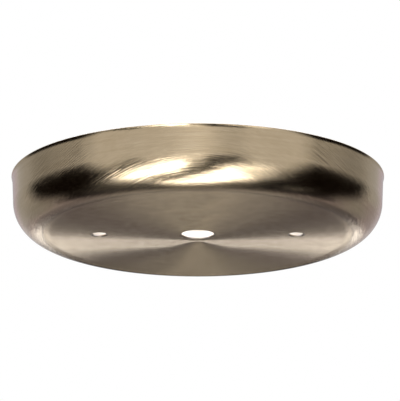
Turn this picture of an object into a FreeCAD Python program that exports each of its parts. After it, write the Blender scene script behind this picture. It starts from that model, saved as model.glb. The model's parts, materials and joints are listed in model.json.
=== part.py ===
import FreeCAD, Part
import math
import os

# A ceiling canopy for a light fixture: one round pan pressed from thin sheet steel.
# Lengths are in millimetres and angles in degrees. The origin is the centre of the
# centre hole, in the plane of the outer show face. +Z points up to the ceiling, so
# the open rim is at the top, and the two screw holes lie along X.

# Driving dimensions of the pan
RIM_DIAMETER = 132.4
DEPTH = 20.9
SHEET = 0.6
WALL_DRAFT = 2.4
CORNER_RADIUS = 11.4

# Driving dimensions of the lip, where the open edge turns outward
LIP_PROUD = 0.27
LIP_HEIGHT = 1.4
LIP_BREAK = 0.2

# Driving dimensions of the punched holes
CENTRE_HOLE_DIAMETER = 11.5
SCREW_HOLE_DIAMETER = 5.1
SCREW_HOLE_SPACING = 69.85
HOLE_BREAK = 0.2

# Angles of the section, in radians
DRAFT = math.radians(WALL_DRAFT)
SQUARE = math.radians(90)
HALF_TURN = math.radians(180)

# Directions of the section at the wall: out of the metal, and up along it
OUTWARD = FreeCAD.Vector(math.cos(DRAFT), 0, -math.sin(DRAFT))
UPWARD = FreeCAD.Vector(math.sin(DRAFT), 0, math.cos(DRAFT))


def point(radius, height):
    """A point of the section, which lies in the XZ plane."""
    return FreeCAD.Vector(radius, 0, height)


def line(start, end):
    return Part.LineSegment(start, end).toShape()


def around(centre, radius, angle):
    """The point at a radius from a centre, at an angle below the direction of +X."""
    return centre + point(radius * math.cos(angle), -radius * math.sin(angle))


def arc(centre, radius, start, end):
    """The arc about a centre from one angle below +X to another."""
    return Part.Arc(
        around(centre, radius, start),
        around(centre, radius, (start + end) / 2),
        around(centre, radius, end),
    ).toShape()


def spin(edges):
    """The closed section that the edges make, turned once round the vertical axis."""
    section = Part.Face(Part.Wire(edges))
    return section.revolve(FreeCAD.Vector(0, 0, 0), FreeCAD.Vector(0, 0, 1), 360)


def pressed_pan():
    """The pan without its holes: one thickness of sheet all the way round its section."""
    # The lip ends at the largest diameter, just under the broken edge of the rim.
    lip_end = point(RIM_DIAMETER / 2, DEPTH - LIP_BREAK)

    # The outside of the wall is a straight line that passes LIP_PROUD inside that end.
    wall_top = lip_end - OUTWARD * LIP_PROUD

    def wall_at(height):
        return wall_top + UPWARD * ((height - wall_top.z) / UPWARD.z)

    # The flare leaves the wall on a tangent and runs to the end of the lip, and its
    # radius follows from that: its chord, squared, over twice what it stands proud.
    flare_start = wall_at(DEPTH - LIP_HEIGHT)
    chord = lip_end - flare_start
    flare_radius = chord.Length ** 2 / (2 * LIP_PROUD)
    flare_centre = flare_start + OUTWARD * flare_radius
    to_end = lip_end - flare_centre
    end_angle = math.atan2(to_end.z, -to_end.x)

    # Inside, the flare is trimmed in the plane of the rim.
    inner_flare = flare_radius + SHEET
    trim_angle = math.asin((DEPTH - flare_centre.z) / inner_flare)

    # The drawn corner is one arc, tangent to the wall and to the flat face.
    corner_start = wall_at(CORNER_RADIUS - CORNER_RADIUS * math.sin(DRAFT))
    corner_centre = corner_start - OUTWARD * CORNER_RADIUS
    inner_corner = CORNER_RADIUS - SHEET

    outside = [
        line(point(0, 0), around(corner_centre, CORNER_RADIUS, SQUARE)),
        arc(corner_centre, CORNER_RADIUS, SQUARE, DRAFT),
        line(corner_start, flare_start),
        arc(flare_centre, flare_radius, HALF_TURN + DRAFT, HALF_TURN + end_angle),
    ]
    broken_edge = point(lip_end.x - LIP_BREAK, DEPTH)
    inner_edge = around(flare_centre, inner_flare, HALF_TURN + trim_angle)
    rim = [
        line(lip_end, broken_edge),
        line(broken_edge, inner_edge),
    ]
    inside = [
        arc(flare_centre, inner_flare, HALF_TURN + trim_angle, HALF_TURN + DRAFT),
        line(flare_start - OUTWARD * SHEET, corner_start - OUTWARD * SHEET),
        arc(corner_centre, inner_corner, DRAFT, SQUARE),
        line(around(corner_centre, inner_corner, SQUARE), point(0, SHEET)),
        line(point(0, SHEET), point(0, 0)),
    ]
    return spin(outside + rim + inside)


def punched_hole(diameter, x):
    """What is taken out of the flat face at x: a round hole, its edge broken at the show side."""
    radius = diameter / 2
    mouth = radius + HOLE_BREAK
    above = 2 * SHEET
    below = -SHEET
    slug = spin([
        line(point(0, below), point(mouth, below)),
        line(point(mouth, below), point(mouth, 0)),
        line(point(mouth, 0), point(radius, HOLE_BREAK)),
        line(point(radius, HOLE_BREAK), point(radius, above)),
        line(point(radius, above), point(0, above)),
        line(point(0, above), point(0, below)),
    ])
    slug.translate(FreeCAD.Vector(x, 0, 0))
    return slug


def canopy_shell():
    """The pan with its centre hole for a threaded tube and its two screw holes."""
    return pressed_pan().cut([
        punched_hole(CENTRE_HOLE_DIAMETER, 0),
        punched_hole(SCREW_HOLE_DIAMETER, -SCREW_HOLE_SPACING / 2),
        punched_hole(SCREW_HOLE_DIAMETER, SCREW_HOLE_SPACING / 2),
    ])


os.makedirs("parts", exist_ok=True)
canopy_shell().exportStep("parts/canopy_shell.step")
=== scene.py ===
import json
import math

import bmesh
import bpy
import numpy as np
from mathutils import Matrix, Vector


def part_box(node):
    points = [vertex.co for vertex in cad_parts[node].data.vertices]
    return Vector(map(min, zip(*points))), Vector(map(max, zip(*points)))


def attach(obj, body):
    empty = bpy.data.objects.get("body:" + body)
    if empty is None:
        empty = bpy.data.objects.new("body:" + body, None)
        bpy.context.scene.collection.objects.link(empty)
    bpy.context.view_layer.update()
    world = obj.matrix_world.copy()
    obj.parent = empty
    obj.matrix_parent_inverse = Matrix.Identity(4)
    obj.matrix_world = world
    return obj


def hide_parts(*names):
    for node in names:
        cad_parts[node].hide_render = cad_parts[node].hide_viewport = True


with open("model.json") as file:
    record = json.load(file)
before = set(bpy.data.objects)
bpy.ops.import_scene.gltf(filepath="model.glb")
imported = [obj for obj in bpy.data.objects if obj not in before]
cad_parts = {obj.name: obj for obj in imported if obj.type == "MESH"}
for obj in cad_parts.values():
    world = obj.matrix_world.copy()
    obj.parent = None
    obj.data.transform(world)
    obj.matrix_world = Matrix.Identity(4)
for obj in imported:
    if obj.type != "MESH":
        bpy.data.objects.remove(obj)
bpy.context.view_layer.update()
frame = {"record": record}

# A light fixture's ceiling canopy: one pan pressed from thin sheet, plated in antique
# brass and brushed. Lengths are in metres. The flat show face looks down at z = 0, the
# open rim is up, and the screw holes lie along X.

MM = 0.001
QUARTER = math.pi / 2

# Sizes that the frame gives
SHELL_LOW, SHELL_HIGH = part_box("canopy_shell")
DEPTH = SHELL_HIGH[2] - SHELL_LOW[2]
RIM_RADIUS = (SHELL_HIGH[0] - SHELL_LOW[0]) / 2
MOUNTS = {mount["name"]: mount["dims"] for mount in frame["record"]["mounts"]}
CENTRE_HOLE_RADIUS = MOUNTS["center_hole"]["r_mm"] * MM
SCREW_HOLE_RADIUS = MOUNTS["screw_holes"]["hole_r_mm"] * MM
SCREW_HOLE_REACH = MOUNTS["screw_holes"]["spacing_x_mm"] * MM / 2

# Sizes of the section, as in the pressed part
SHEET = 0.6 * MM
DRAFT = math.radians(2.4)
CORNER_RADIUS = 11.4 * MM
LIP_PROUD = 0.27 * MM
LIP_HEIGHT = 1.4 * MM
LIP_ROUND = 0.2 * MM
PUNCH_ROLL = 0.2 * MM
EDGE_ROUND = 0.05 * MM

# Steps of the grids
TURN_STEPS = 360
FACE_STEPS = 14
BLOCK_ROWS = 12
BLOCK_COLUMNS = 9
PATCH_STEPS = 8
BLOCK_REACH = 5.2 * MM
FACE_RING = SCREW_HOLE_REACH + BLOCK_REACH + 2 * MM


def arc(centre, radius, start, end, steps):
    """Points of a section on a circle: the centre plus the radius along an angle that runs
    evenly from start to end. The angle is measured down from the outward direction."""
    angle = np.linspace(start, end, steps + 1)
    return np.stack([centre[0] + radius * np.cos(angle), centre[1] - radius * np.sin(angle)], 1)


def run(start, end, steps, ease=0.0):
    """Points of a section on a straight line. With ease above 0 the steps get shorter
    toward both ends, as half a turn of a cosine does."""
    share = np.linspace(0, 1, steps + 1)
    share = (1 - ease) * share + ease * (1 - np.cos(math.pi * share)) / 2
    start, end = np.asarray(start, float), np.asarray(end, float)
    return start + (end - start) * share[:, None]


def chain(*pieces):
    """One line of section points from several that meet end to end."""
    return np.concatenate([pieces[0]] + [piece[1:] for piece in pieces[1:]])


def pan_sections():
    """The section of the pan in two lines: outside, from a ring on the flat face round the
    corner, up the wall and over the lip to the rim, and inside, from the rim back to the
    same ring.

    The wall is a straight line at the draft angle. The corner is one arc that touches the
    wall and the face, the flare is one arc that touches the wall and the lip's round edge,
    and the inside is the same line one sheet further in.
    """
    outward = np.array([math.cos(DRAFT), -math.sin(DRAFT)])
    upward = np.array([math.sin(DRAFT), math.cos(DRAFT)])
    round_centre = np.array([RIM_RADIUS - LIP_ROUND, DEPTH - LIP_ROUND])
    wall_top = round_centre + outward * (LIP_ROUND - LIP_PROUD)

    def wall_at(height):
        return wall_top + upward * ((height - wall_top[1]) / upward[1])

    flare_start = wall_at(DEPTH - LIP_HEIGHT)
    reach = np.linalg.norm(flare_start - round_centre)
    flare_radius = (reach ** 2 - LIP_ROUND ** 2) / (2 * LIP_PROUD)
    flare_centre = flare_start + outward * flare_radius
    to_flare = flare_centre - round_centre
    roll_angle = math.atan2(-to_flare[1], to_flare[0])
    inner_flare = flare_radius + SHEET
    trim_angle = math.asin((DEPTH - EDGE_ROUND - flare_centre[1]) / inner_flare)
    corner_start = wall_at(CORNER_RADIUS * (1 - math.sin(DRAFT)))
    corner_centre = corner_start - outward * CORNER_RADIUS
    inner_trim = arc(flare_centre, inner_flare, math.pi + trim_angle, math.pi + DRAFT, 6)
    rim_end = inner_trim[0] + np.array([EDGE_ROUND, 0])
    outside = chain(
        run((FACE_RING, 0), (corner_centre[0], 0), 8, ease=0.9),
        arc(corner_centre, CORNER_RADIUS, QUARTER, DRAFT, 56),
        run(corner_start, flare_start, 12, ease=0.8),
        arc(flare_centre, flare_radius, math.pi + DRAFT, math.pi + roll_angle, 8),
        arc(round_centre, LIP_ROUND, roll_angle, -QUARTER, 7),
        run((round_centre[0], DEPTH), (rim_end[0], DEPTH), 2),
        arc(rim_end, EDGE_ROUND, -QUARTER, -math.pi, 3),
    )
    inside = chain(
        inner_trim,
        run(flare_start - outward * SHEET, corner_start - outward * SHEET, 8, ease=0.8),
        arc(corner_centre, CORNER_RADIUS - SHEET, DRAFT, QUARTER, 32),
        run((corner_centre[0], SHEET), (FACE_RING, SHEET), 8, ease=0.9),
    )
    return outside, inside


def hole_section(radius):
    """The lining of a punched hole, from its rolled mouth in the show face up its wall to
    the inner face: distances from the hole's own axis, and heights."""
    return chain(
        arc((radius + PUNCH_ROLL, PUNCH_ROLL), PUNCH_ROLL, QUARTER, math.pi, 6),
        run((radius, PUNCH_ROLL), (radius, SHEET - EDGE_ROUND), 2),
        arc((radius + EDGE_ROUND, SHEET - EDGE_ROUND), EDGE_ROUND, math.pi, 1.5 * math.pi, 3),
    )


def turned(section, angles, centre_x=0.0):
    """A grid of points: every point of the section at every angle about a vertical axis."""
    radius, height = section[:, :1], section[:, 1:]
    return np.stack([
        centre_x + radius * np.cos(angles),
        radius * np.sin(angles),
        height + 0 * angles,
    ], -1)


def quads(rows, columns):
    """The four corner indices of each cell of a grid that is closed round its columns."""
    row = np.arange(rows - 1)[:, None]
    column = np.arange(columns)[None, :]
    after = (column + 1) % columns
    corners = [row * columns + column, (row + 1) * columns + column,
               (row + 1) * columns + after, row * columns + after]
    return np.stack([np.broadcast_to(c, (rows - 1, columns)) for c in corners], -1)


def patch(grid):
    """The points and the cells of a closed grid, as two lists."""
    return grid.reshape(-1, 3), quads(*grid.shape[:2]).reshape(-1, 4)


def pierced_disc(mouth, hole_mouth, height):
    """A flat ring from the mouth of the centre hole to the ring where the section starts,
    less a block of its polar grid round each screw hole, and for each block a patch that
    closes in on the hole.

    A patch is a loop of points round the block's edge, drawn in evenly to the points of the
    hole's circle that lie in the same directions. Returns (points, quads) for each of the
    three patches, and the directions of each loop, which the hole's lining takes over.
    """
    radii = chain(
        run((mouth, 0), (SCREW_HOLE_REACH - BLOCK_REACH, 0), FACE_STEPS, ease=0.6),
        run((SCREW_HOLE_REACH - BLOCK_REACH, 0), (SCREW_HOLE_REACH + BLOCK_REACH, 0), BLOCK_ROWS),
        run((SCREW_HOLE_REACH + BLOCK_REACH, 0), (FACE_RING, 0), 3),
    )[:, 0]
    angles = np.arange(TURN_STEPS) * (2 * math.pi / TURN_STEPS)
    grid = turned(np.stack([radii, np.full_like(radii, height)], 1), angles)
    cells = quads(len(radii), TURN_STEPS)
    first, last = FACE_STEPS, FACE_STEPS + BLOCK_ROWS
    solid = np.ones(cells.shape[:2], bool)
    patches, directions = [], []
    for side in (0, TURN_STEPS // 2):
        columns = (side + np.arange(-BLOCK_COLUMNS, BLOCK_COLUMNS + 1)) % TURN_STEPS
        solid[first:last, columns[:-1]] = False
        rows = np.arange(first, last + 1)
        loop = np.concatenate([
            grid[first, columns[:-1]], grid[rows[:-1], columns[-1]],
            grid[last, columns[:0:-1]], grid[rows[:0:-1], columns[0]],
        ])
        centre_x = math.copysign(SCREW_HOLE_REACH, 1 if side == 0 else -1)
        direction = np.arctan2(loop[:, 1], loop[:, 0] - centre_x)
        circle = turned(np.array([[hole_mouth, height]]), direction, centre_x)[0]
        share = run((0, 0), (1, 0), PATCH_STEPS, ease=0.7)[:, :1, None]
        patches.append(patch(loop * (1 - share) + circle * share))
        directions.append((centre_x, direction))
    patches.insert(0, (grid.reshape(-1, 3), cells[solid]))
    return patches, directions


def canopy_mesh():
    """The whole pan as one closed surface. Points of neighbouring patches that lie in the
    same place are made one, and each face takes the finish of its patch: 0 is the brushed
    outside, and 1 the inside."""
    angles = np.arange(TURN_STEPS) * (2 * math.pi / TURN_STEPS)
    outside, inside = pan_sections()
    show_face, loops = pierced_disc(
        CENTRE_HOLE_RADIUS + PUNCH_ROLL, SCREW_HOLE_RADIUS + PUNCH_ROLL, 0.0)
    inner_face, _ = pierced_disc(
        CENTRE_HOLE_RADIUS + EDGE_ROUND, SCREW_HOLE_RADIUS + EDGE_ROUND, SHEET)
    linings = [patch(turned(hole_section(CENTRE_HOLE_RADIUS), angles))]
    for centre_x, direction in loops:
        linings.append(patch(turned(hole_section(SCREW_HOLE_RADIUS), direction, centre_x)))
    brushed = [patch(turned(outside, angles))] + show_face + linings
    plain = [patch(turned(inside, angles))] + inner_face
    patches = brushed + plain
    points = np.concatenate([p for p, _ in patches])
    starts = np.cumsum([0] + [len(p) for p, _ in patches[:-1]])
    faces = np.concatenate([f + start for (_, f), start in zip(patches, starts)])
    _, keep, same = np.unique(np.round(points, 9), axis=0, return_index=True, return_inverse=True)
    finish = np.arange(len(faces)) >= sum(len(f) for _, f in brushed)

    mesh = bpy.data.meshes.new("canopy_shell_brushed")
    mesh.from_pydata(points[keep], [], same.reshape(-1)[faces])
    mesh.polygons.foreach_set("material_index", finish.astype(np.int32))
    mesh.shade_smooth()
    face_outwards(mesh)
    return mesh


def face_outwards(mesh):
    """Turns the faces of a closed mesh so that they all point out of the metal."""
    work = bmesh.new()
    work.from_mesh(mesh)
    bmesh.ops.recalc_face_normals(work, faces=work.faces)
    work.to_mesh(mesh)
    work.free()


# Colours of the finish, as light that the bare metal throws back
BRASS_WORN = (0.650, 0.522, 0.356)
BRASS_TONED = (0.550, 0.428, 0.274)
# Painted shade: the dark colour of a ring round each hole, which stands for the dark reflection at
# its rolled edge
PAINTED_SHADE_AT_HOLES = (0.300, 0.250, 0.190)
# Painted shade: the darker colour of the ring where the face turns into the corner, which dims the
# reflection there
PAINTED_SHADE_AT_EDGE = (0.380, 0.295, 0.192)
INNER_BRASS = (0.590, 0.485, 0.345)
INNER_BRASS_CLOUDED = (0.470, 0.370, 0.245)

# The show face was brushed in half circles about the two ends of a short straight slide
# behind the centre hole, and the corner and the wall in circles about the axis. The slide
# gets longer away from the middle, and its near end stays where it is. The two ways of
# brushing meet in a narrow ring where the corner begins.
SLIDE_NEAR_Y = 7.8 * MM
SLIDE_FAR_Y = 8.8 * MM
LONG_SLIDE_FAR_Y = 14.6 * MM
LONG_SLIDE_X = 12 * MM
BRUSH_FACE_END = 54.0 * MM
BRUSH_BLEND = 2.5 * MM

# Where, measured from the axis, the finish of the face gives way to that of the corner
STROKES_FROM, STROKES_FULL = 53.5 * MM, 56 * MM
TONE_FROM, TONE_FULL = 50 * MM, 56 * MM
SMOOTHER_FROM, SMOOTHER_FULL = 54 * MM, 60 * MM

# How far from a hole's edge its ring of painted shade starts to fade, and where it ends
HOLE_DARK, HOLE_CLEAR = 0.3 * MM, 0.8 * MM

# Where, measured from the axis, the ring of painted shade lies, which darkens the reflection
# as the face turns into the corner: where it starts, is full, starts to fade and ends
EDGE_START, EDGE_FULL, EDGE_FADE, EDGE_END = 54.2 * MM, 55.0 * MM, 57.4 * MM, 59.0 * MM

# Roughness of the brushed brass, and how much more it spreads light across the brush
# lines than along them
FACE_ROUGHNESS = 0.258
CORNER_ROUGHNESS = 0.17
CLOUDED_ROUGHNESS = 0.05
ANISOTROPY = 0.95
ACROSS_THE_LINES = 0.25

# Brush lines: waves a metre along a line and across it, and their height
LINE_WAVES_ALONG = 40
LINE_WAVES_ACROSS = 1100
FACE_LINE_HEIGHT = 0.002 * MM
WALL_LINE_HEIGHT = 0.004 * MM

# Hand strokes over the corner and the wall. Each follows a curve on which the height plus
# the arch times x squared stays the same.
STROKE_ARCH = 7.2
STROKE_WAVES_ALONG = 150
STROKE_WAVES_ACROSS = 2300
STROKE_TONE = 0.4
CORNER_STROKE_HEIGHT = 0.085 * MM
WALL_STROKE_HEIGHT = 0.035 * MM
CORNER_UP_TO, WALL_FROM = 8 * MM, 15 * MM

# Clouds and specks in the toning: waves a metre, and how far each moves the colour
CLOUD_WAVES = 110.0
SPECK_WAVES = 420.0
CLOUD_SHARE = 0.9
FACE_LINE_SHARE = 1.1
WALL_LINE_SHARE = 2.2
FACE_SPECK_SHARE = 4.2
WALL_SPECK_SHARE = 0.6

# The inside: spun rings, cloudy patches, and how rough it is where the plating is thin
RING_WAVES_ALONG = 14
RING_WAVES_ACROSS = 900
RING_HEIGHT = 0.03 * MM
RING_TONE = 0.6
INNER_CLOUD_WAVES = 60.0
INNER_CLOUD_TONE = 1.6
INNER_ROUGHNESS = 0.30
INNER_THIN_ROUGHNESS = 0.10
INNER_ANISOTROPY = 0.6


def node(tree, kind, *inputs, out=0, **settings):
    """Adds a shader node and feeds its inputs in order: a socket is linked, a number or
    colour is set, and None leaves an input as it is. Returns one of its outputs."""
    made = tree.nodes.new("ShaderNode" + kind)
    for name, value in settings.items():
        setattr(made, name, value)
    for socket, value in zip(made.inputs, inputs):
        if isinstance(value, bpy.types.NodeSocket):
            tree.links.new(value, socket)
        elif value is not None:
            socket.default_value = value
    return made.outputs[out]


def math_node(tree, operation, *inputs, clamp=False):
    """One step of arithmetic on numbers."""
    return node(tree, "Math", *inputs, operation=operation, use_clamp=clamp)


def vector_node(tree, operation, *inputs, out=0):
    """One step of arithmetic on points."""
    return node(tree, "VectorMath", *inputs, operation=operation, out=out)


def ramp(tree, value, low, high, to_low=0.0, to_high=1.0):
    """A smooth change from one number to another while the value goes from low to high."""
    return node(tree, "MapRange", value, low, high, to_low, to_high,
                interpolation_type="SMOOTHSTEP")


def about_middle(tree, noise, share, base):
    """The base plus a share of how far the noise is from its middle."""
    return math_node(tree, "MULTIPLY_ADD", math_node(tree, "SUBTRACT", noise, 0.5), share, base)


def mixed_colour(tree, share, first, second):
    """A colour between two: the first where the share is 0, and the second where it is 1."""
    mix = tree.nodes.new("ShaderNodeMix")
    mix.data_type = "RGBA"
    tree.links.new(share, mix.inputs["Factor"])
    for socket, colour in ((mix.inputs[6], first), (mix.inputs[7], second)):
        if isinstance(colour, bpy.types.NodeSocket):
            tree.links.new(colour, socket)
        else:
            socket.default_value = (*colour, 1)
    return mix.outputs[2]


def streaks(tree, x, y, across, waves_along, waves_across, detail):
    """Noise drawn out into streaks: it changes fast with the number across and slowly with
    the place in the level plane."""
    point = node(tree, "CombineXYZ", x, y, across)
    scaled = vector_node(tree, "MULTIPLY", point, (waves_along, waves_along, waves_across))
    return node(tree, "TexNoise", scaled, None, 1.0, detail, 0.55)


def distance_past(tree, x, y, radius):
    """How far a point of the level plane lies outside a circle about the origin."""
    reach = vector_node(tree, "LENGTH", node(tree, "CombineXYZ", x, y, 0.0), out=1)
    return math_node(tree, "SUBTRACT", reach, radius)


def circling(tree, x, y):
    """The level direction at right angles to the way from the origin."""
    turned_way = node(tree, "CombineXYZ", math_node(tree, "MULTIPLY", y, -1.0), x, 0.0)
    return vector_node(tree, "NORMALIZE", turned_way)


def metal(name):
    """A new material whose shader is bare metal, with its node tree."""
    material = bpy.data.materials.new(name)
    material.use_nodes = True
    shader = material.node_tree.nodes["Principled BSDF"]
    shader.distribution = "GGX"
    shader.inputs["Metallic"].default_value = 1.0
    shader.inputs["Anisotropic Rotation"].default_value = ACROSS_THE_LINES
    return material, material.node_tree, shader


def brushed_brass():
    """Brushed antique brass of the outside.

    The brush lines are streaks along circles: on the flat face about the ends of the slide,
    whose length is cut out of the distance in y, and elsewhere about the axis. Their number
    across is the distance from there plus the height, which grows along the whole section.
    On the corner and the wall, hand strokes cross them. Both are raised a little, and tone
    the colour together with clouds and specks. Painted shade darkens the brass in a ring where
    the face turns into the corner and round the holes, dimming the reflections there.
    """
    material, tree, shader = metal("brushed_antique_brass")
    place = node(tree, "TexCoord", out=3)
    x, y, z = (node(tree, "SeparateXYZ", place, out=axis) for axis in range(3))
    radius = distance_past(tree, x, y, 0.0)

    on_face = ramp(tree, radius, BRUSH_FACE_END - BRUSH_BLEND, BRUSH_FACE_END, 1.0, 0.0)
    on_corner = ramp(tree, radius, STROKES_FROM, STROKES_FULL)
    aside = math_node(tree, "ABSOLUTE", x)
    slide_end = ramp(tree, aside, 0.0, LONG_SLIDE_X, SLIDE_FAR_Y, LONG_SLIDE_FAR_Y)
    near_y = math_node(tree, "MULTIPLY", on_face, SLIDE_NEAR_Y)
    far_y = math_node(tree, "MULTIPLY", on_face, slide_end)
    before_near = math_node(tree, "MINIMUM", math_node(tree, "SUBTRACT", y, near_y), 0.0)
    past_far = math_node(tree, "MAXIMUM", math_node(tree, "SUBTRACT", y, far_y), 0.0)
    brush_y = math_node(tree, "ADD", before_near, past_far)
    tree.links.new(circling(tree, x, brush_y), shader.inputs["Tangent"])

    across_lines = math_node(tree, "ADD", distance_past(tree, x, brush_y, 0.0), z)
    lines = streaks(tree, x, y, across_lines, LINE_WAVES_ALONG, LINE_WAVES_ACROSS, 3.0)
    x_squared = math_node(tree, "MULTIPLY", x, x)
    across_strokes = math_node(tree, "MULTIPLY_ADD", x_squared, STROKE_ARCH, z)
    strokes = streaks(tree, x, y, across_strokes, STROKE_WAVES_ALONG, STROKE_WAVES_ACROSS, 2.0)
    clouds = node(tree, "TexNoise", place, None, CLOUD_WAVES, 2.0, 0.5)
    specks = node(tree, "TexNoise", place, None, SPECK_WAVES, 3.0, 0.6)

    line_share = ramp(tree, radius, TONE_FROM, TONE_FULL, FACE_LINE_SHARE, WALL_LINE_SHARE)
    speck_share = ramp(tree, radius, TONE_FROM, TONE_FULL, FACE_SPECK_SHARE, WALL_SPECK_SHARE)
    stroke_tone = math_node(tree, "MULTIPLY", strokes, STROKE_TONE)
    crossed = math_node(tree, "MULTIPLY_ADD", lines, 1 - STROKE_TONE, stroke_tone)
    grain = node(tree, "Mix", on_corner, None, lines, crossed)
    clouded = about_middle(tree, clouds, CLOUD_SHARE, 0.5)
    specked = about_middle(tree, specks, speck_share, clouded)
    grained = about_middle(tree, grain, line_share, specked)
    worn = node(tree, "Clamp", grained)
    toned = mixed_colour(tree, worn, BRASS_TONED, BRASS_WORN)

    beside = math_node(tree, "SUBTRACT", aside, SCREW_HOLE_REACH)
    past_centre_hole = distance_past(tree, x, y, CENTRE_HOLE_RADIUS)
    past_screw_hole = distance_past(tree, beside, y, SCREW_HOLE_RADIUS)
    past_hole = math_node(tree, "MINIMUM", past_centre_hole, past_screw_hole)
    # Painted shade: a darker ring where the face turns into the corner, which dims its reflection
    before_edge = ramp(tree, radius, EDGE_START, EDGE_FULL)
    past_edge = ramp(tree, radius, EDGE_FADE, EDGE_END)
    painted_edge_shade = math_node(tree, "SUBTRACT", before_edge, past_edge)
    edge_shaded = mixed_colour(tree, painted_edge_shade, toned, PAINTED_SHADE_AT_EDGE)
    # Painted shade: a dark ring round each hole, for the dark reflection at its rolled edge
    painted_hole_shade = ramp(tree, past_hole, HOLE_DARK, HOLE_CLEAR, 1.0, 0.0)
    colour = mixed_colour(tree, painted_hole_shade, edge_shaded, PAINTED_SHADE_AT_HOLES)
    tree.links.new(colour, shader.inputs["Base Color"])

    even = ramp(tree, radius, SMOOTHER_FROM, SMOOTHER_FULL, FACE_ROUGHNESS, CORNER_ROUGHNESS)
    roughness = about_middle(tree, clouds, CLOUDED_ROUGHNESS, even)
    tree.links.new(roughness, shader.inputs["Roughness"])

    face_relief = math_node(tree, "MULTIPLY", lines, FACE_LINE_HEIGHT)
    wall_relief = math_node(tree, "MULTIPLY", lines, WALL_LINE_HEIGHT)
    stroke_height = ramp(
        tree, z, CORNER_UP_TO, WALL_FROM, CORNER_STROKE_HEIGHT, WALL_STROKE_HEIGHT)
    crossed_relief = math_node(tree, "MULTIPLY_ADD", strokes, stroke_height, wall_relief)
    relief = node(tree, "Mix", on_corner, None, face_relief, crossed_relief)
    tree.links.new(node(tree, "Bump", 1.0, 1.0, None, relief), shader.inputs["Normal"])
    shader.inputs["Anisotropic"].default_value = ANISOTROPY
    return material


def inner_brass():
    """The inside has the same plating, but it was left as it was spun: rings about the
    axis, and cloudy patches where the plating is thin."""
    material, tree, shader = metal("inner_brass")
    place = node(tree, "TexCoord", out=3)
    x, y, z = (node(tree, "SeparateXYZ", place, out=axis) for axis in range(3))
    across = math_node(tree, "ADD", distance_past(tree, x, y, 0.0), z)
    rings = streaks(tree, x, y, across, RING_WAVES_ALONG, RING_WAVES_ACROSS, 3.0)
    clouds = node(tree, "TexNoise", place, None, INNER_CLOUD_WAVES, 4.0, 0.6)
    clouded = math_node(tree, "MULTIPLY_ADD", clouds, INNER_CLOUD_TONE, -RING_TONE)
    thin = math_node(tree, "MULTIPLY_ADD", rings, RING_TONE, clouded, clamp=True)
    colour = mixed_colour(tree, thin, INNER_BRASS_CLOUDED, INNER_BRASS)
    tree.links.new(colour, shader.inputs["Base Color"])
    roughness = math_node(tree, "MULTIPLY_ADD", thin, INNER_THIN_ROUGHNESS, INNER_ROUGHNESS)
    tree.links.new(roughness, shader.inputs["Roughness"])
    relief = math_node(tree, "MULTIPLY", rings, RING_HEIGHT)
    tree.links.new(node(tree, "Bump", 1.0, 1.0, None, relief), shader.inputs["Normal"])
    tree.links.new(circling(tree, x, y), shader.inputs["Tangent"])
    shader.inputs["Anisotropic"].default_value = INNER_ANISOTROPY
    return material


canopy_surface = canopy_mesh()
canopy_surface.materials.append(brushed_brass())
canopy_surface.materials.append(inner_brass())
canopy = bpy.data.objects.new("canopy_shell_brushed", canopy_surface)
bpy.context.collection.objects.link(canopy)
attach(canopy, "root")
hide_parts("canopy_shell")

# The camera looks up from the front at the middle of the rim, and is aimed a little beside
# and below it, so that the canopy sits in the frame as in the photograph.
CAMERA_DISTANCE = 1.7988
CAMERA_ELEVATION = math.radians(-16.59)
CAMERA_LENS = 454.2
CAMERA_SENSOR = 36
AIM_ASIDE = 0.79 * MM
AIM_BELOW = 7.98 * MM

rim_centre = Vector((0, 0, DEPTH))
toward_camera = Vector((0, -math.cos(CAMERA_ELEVATION), math.sin(CAMERA_ELEVATION)))
camera_up = Vector((0, math.sin(CAMERA_ELEVATION), math.cos(CAMERA_ELEVATION)))
aim = rim_centre + Vector((AIM_ASIDE, 0, 0)) - camera_up * AIM_BELOW
camera_data = bpy.data.cameras.new("camera")
camera_data.lens = CAMERA_LENS
camera_data.sensor_width = CAMERA_SENSOR
camera_data.clip_start = 0.1
camera_data.clip_end = 100
camera = bpy.data.objects.new("camera", camera_data)
bpy.context.collection.objects.link(camera)
camera.location = rim_centre + toward_camera * CAMERA_DISTANCE
camera.rotation_mode = "QUATERNION"
camera.rotation_quaternion = (aim - camera.location).to_track_quat("-Z", "Y")
bpy.context.scene.camera = camera

# Tints of the cards: white, the cool white over the open side, the grey of the dim room
# behind the canopy, the warm black of the side flags and the yellowish black of the cards
# between the lit ones
WHITE = (1.0, 1.0, 1.0)
COOL = (0.85, 0.95, 1.25)
DUSK = (1.0, 0.90, 1.00)
EMBER = (1.0, 0.60, 0.35)
OLIVE = (1.0, 0.95, 0.60)


def staged(name, sheet, material):
    """Puts a sheet of the studio in place. The camera doesn't see it, only its light."""
    sheet.materials.append(material)
    made = bpy.data.objects.new(name, sheet)
    bpy.context.collection.objects.link(made)
    made.visible_camera = False
    return made


def direction(azimuth, elevation):
    """The unit vector toward a place round the object. Azimuth 0 is toward the camera's
    side, -Y, and 90 toward +X, in degrees."""
    azimuth, elevation = math.radians(azimuth), math.radians(elevation)
    return Vector((
        math.sin(azimuth) * math.cos(elevation),
        -math.cos(azimuth) * math.cos(elevation),
        math.sin(elevation),
    ))


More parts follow.
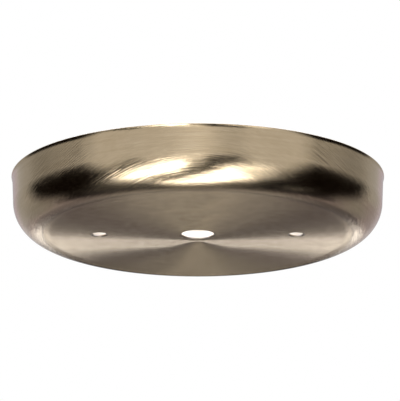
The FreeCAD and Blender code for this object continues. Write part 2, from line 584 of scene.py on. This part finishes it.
def card_material(name, half_width, half_height, soft_edge, brightness, tint):
    """A glowing sheet that fades out across a band on either side of its edge."""
    material = bpy.data.materials.new(name)
    material.use_nodes = True
    tree = material.node_tree
    tree.nodes.clear()
    place = node(tree, "TexCoord", out=3)
    inside = []
    for axis, half in ((0, half_width), (1, half_height)):
        off_centre = math_node(tree, "ABSOLUTE", node(tree, "SeparateXYZ", place, out=axis))
        inside.append(ramp(tree, off_centre, half - soft_edge, half + soft_edge, 1.0, 0.0))
    share = math_node(tree, "MULTIPLY", *inside)
    clear = node(tree, "BsdfTransparent", (1, 1, 1, 1))
    glow = node(tree, "Emission", (*tint, 1), brightness)
    output = tree.nodes.new("ShaderNodeOutputMaterial")
    tree.links.new(node(tree, "MixShader", share, clear, glow), output.inputs["Surface"])
    return material


def card(name, centre, level, rise, half_width, half_height, roll, brightness, soft_edge, tint):
    """A flat card about its centre, turned by the roll in the plane of two directions."""
    turn = math.radians(roll)
    side = level * math.cos(turn) + rise * math.sin(turn)
    top = rise * math.cos(turn) - level * math.sin(turn)
    reach_x, reach_y = half_width + soft_edge, half_height + soft_edge
    corners = [(-reach_x, -reach_y, 0), (reach_x, -reach_y, 0),
               (reach_x, reach_y, 0), (-reach_x, reach_y, 0)]
    sheet = bpy.data.meshes.new(name)
    sheet.from_pydata(corners, [], [(0, 1, 2, 3)])
    material = card_material(name, half_width, half_height, soft_edge, brightness, tint)
    axes = Matrix((side, top, side.cross(top))).transposed()
    staged(name, sheet, material).matrix_world = Matrix.Translation(centre) @ axes.to_4x4()


def standing_card(name, distance, azimuth, elevation, half_width, half_height, roll, brightness,
                  soft, tint=WHITE):
    """A card that faces the object from a direction. Its half width, half height and soft
    edge are angles seen from the object, in degrees."""
    toward = direction(azimuth, elevation)
    level = direction(azimuth + 90, 0)
    rise = level.cross(toward)
    if rise.z < 0:
        rise = -rise
    half_width, half_height, soft = (
        distance * math.tan(math.radians(angle)) for angle in (half_width, half_height, soft))
    card(name, toward * distance, level, rise, half_width, half_height, roll, brightness, soft, tint)


def lying_card(name, depth, x, y, half_x, half_y, roll, brightness, soft, tint=WHITE):
    """A level card under the object. All its lengths are shares of its depth below it."""
    card(name, Vector((x, y, -1)) * depth, Vector((1, 0, 0)), Vector((0, 1, 0)),
         half_x * depth, half_y * depth, roll, brightness, soft * depth, tint)


def open_band(name, radius, low, high, half_angle, brightness):
    """A glowing band over the open side, on the camera's side: part of a cylinder about the
    axis. It lights the inside, which shows through the holes as white."""
    angle = np.radians(np.linspace(-half_angle, half_angle, 49)) - QUARTER
    grid = turned(np.array([[radius, low], [radius, high]]), angle)
    cells = quads(2, len(angle))[:, :-1]
    sheet = bpy.data.meshes.new(name)
    sheet.from_pydata(grid.reshape(-1, 3), [], cells.reshape(-1, 4))
    material = bpy.data.materials.new(name)
    material.use_nodes = True
    tree = material.node_tree
    tree.nodes.clear()
    output = tree.nodes.new("ShaderNodeOutputMaterial")
    glow = node(tree, "Emission", (*COOL, 1), brightness)
    tree.links.new(glow, output.inputs["Surface"])
    staged(name, sheet, material)


open_band("open_side", radius=0.058, low=0.024, high=0.115, half_angle=105, brightness=5.0)

# The cards are named for where they stand and what they do. In each list the nearer ones
# come first, and hide those behind them. In each call come the distance, the place, the
# half sizes, the roll, the brightness and the soft edge.
#
# Most of these numbers were found by a program, which fitted the cards to the brightness
# of the photograph. They were then rounded, paired and changed. Only low_flag,
# back_low, back_side and back_wide were given without the fit, and so was the band above.
# So this is not a plain studio: the reflections match from the camera because of that fit.
for side in (-1, 1):
    hand = "left" if side < 0 else "right"
    standing_card("side_flag_" + hand, 0.60, 92 * side, -18, 30, 32, -7 * side, 0.004, 10, EMBER)
    standing_card("low_flag_" + hand, 0.80, 112 * side, -46, 26, 6, 0, 0.004, 3, EMBER)
    standing_card("back_soft_" + hand, 1.30, 170.6 * side, -13, 3.6, 2.9, 4 * side, 4.4, 1.6)
    standing_card("back_low_" + hand, 1.37, 174 * side, -36, 4, 5.5, 0, 1.05, 2)
    standing_card("back_side_" + hand, 1.38, 140 * side, -24, 14, 9, 0, 0.3, 5)
    standing_card("over_" + hand, 1.90, 127 * side, 16, 19, 61, 43 * side, 0.44, 10)

lying_card("front_strip", 0.70, 0.05, -0.96, 0.21, 0.87, 26, 0.03, 0.04, OLIVE)
standing_card("front_strip_top", 1.00, 16.5, -15, 11.5, 18, 3, 0, 5.6)
standing_card("front_dark_left", 1.00, -49, -23.5, 22.5, 6.5, 48, 0.03, 1, OLIVE)
lying_card("front_soft_left", 1.00, -0.50, -1.48, 0.28, 1.23, 0, 6.0, 0.03)
lying_card("front_soft_right", 1.00, 0.28, -0.83, 0.24, 0.72, 12, 4.5, 0.1)
lying_card("side_soft_right", 1.02, 0.89, -1.23, 0.16, 0.32, -70, 4.7, 0.06)
lying_card("below_soft", 1.05, 0, 0.03, 0.23, 0.14, -52, 4.4, 0.04)
standing_card("back_spot", 1.22, 180, -15.5, 2.1, 1.8, 0, 0.65, 0.8)
standing_card("back_gap", 1.24, 180, -6.2, 7, 7, -34, 0, 0.6)
standing_card("back_column", 1.40, 182, -45, 2.7, 27, 5, 0, 0.6, DUSK)
standing_card("back_low_stripe_left", 1.42, -125, -58, 4, 15, 19, 0.13, 0.6)
standing_card("back_low_stripe_right", 1.42, 125, -48, 0.8, 14, -15, 0.8, 1.7)
standing_card("back_dark", 1.50, 174.5, -25, 17.5, 8.3, 24, 0.13, 1.1, DUSK)
standing_card("front_glow", 1.60, 1, -1.2, 6, 12.5, -68, 2.0, 8)
standing_card("below_back", 1.60, 158, -72, 41.5, 25, -11, 0, 3)
standing_card("back_upper", 1.70, 180, 15, 11, 14, 0, 0.60, 6)
standing_card("back_wide", 1.75, 180, 15, 30, 14, 0, 0.55, 8, DUSK)
standing_card("back_grey", 1.80, 158, -30, 74, 30.5, -7, 0.36, 10, DUSK)
standing_card("front_wide", 3.20, -1, 7.5, 69.5, 49.5, -7, 0.70, 10)

# The floor lies far below the hanging canopy. It is pale and dull, and to the camera, to
# metal and through glass it is a little lighter, so that it meets the white room.
FLOOR_HEIGHT = -2.7
FLOOR_REACH = 40
FLOOR_PALE = (0.8, 0.8, 0.8)
FLOOR_GLOW = 0.2


def seen(tree):
    """1 for a ray from the camera, from a glossy surface or through a clear one, else 0."""
    rays = ("Is Camera Ray", "Is Glossy Ray", "Is Transmission Ray")
    camera_ray, glossy_ray, through_ray = (node(tree, "LightPath", out=ray) for ray in rays)
    seen_first = math_node(tree, "MAXIMUM", camera_ray, glossy_ray)
    return math_node(tree, "MAXIMUM", seen_first, through_ray)


def floor_material():
    """Pale and dull, so that it keeps a shadow, with a faint glow for the rays that see it."""
    material = bpy.data.materials.new("pale_floor")
    material.use_nodes = True
    tree = material.node_tree
    tree.nodes.clear()
    dull = node(tree, "BsdfDiffuse", (*FLOOR_PALE, 1))
    faint = math_node(tree, "MULTIPLY", seen(tree), FLOOR_GLOW)
    glow = node(tree, "Emission", (*WHITE, 1), faint)
    output = tree.nodes.new("ShaderNodeOutputMaterial")
    tree.links.new(node(tree, "AddShader", dull, glow), output.inputs["Surface"])
    return material


floor_sheet = bpy.data.meshes.new("floor")
floor_sheet.from_pydata([
    (-FLOOR_REACH, -FLOOR_REACH, FLOOR_HEIGHT), (FLOOR_REACH, -FLOOR_REACH, FLOOR_HEIGHT),
    (FLOOR_REACH, FLOOR_REACH, FLOOR_HEIGHT), (-FLOOR_REACH, FLOOR_REACH, FLOOR_HEIGHT),
], [], [(0, 1, 2, 3)])
staged("floor", floor_sheet, floor_material()).visible_camera = True

world = bpy.data.worlds.new("studio")
world.use_nodes = True
room = world.node_tree.nodes["Background"]
room.inputs["Color"].default_value = (*WHITE, 1)
room.inputs["Strength"].default_value = 1.0
bpy.context.scene.world = world
bpy.context.scene.view_settings.view_transform = "Standard"
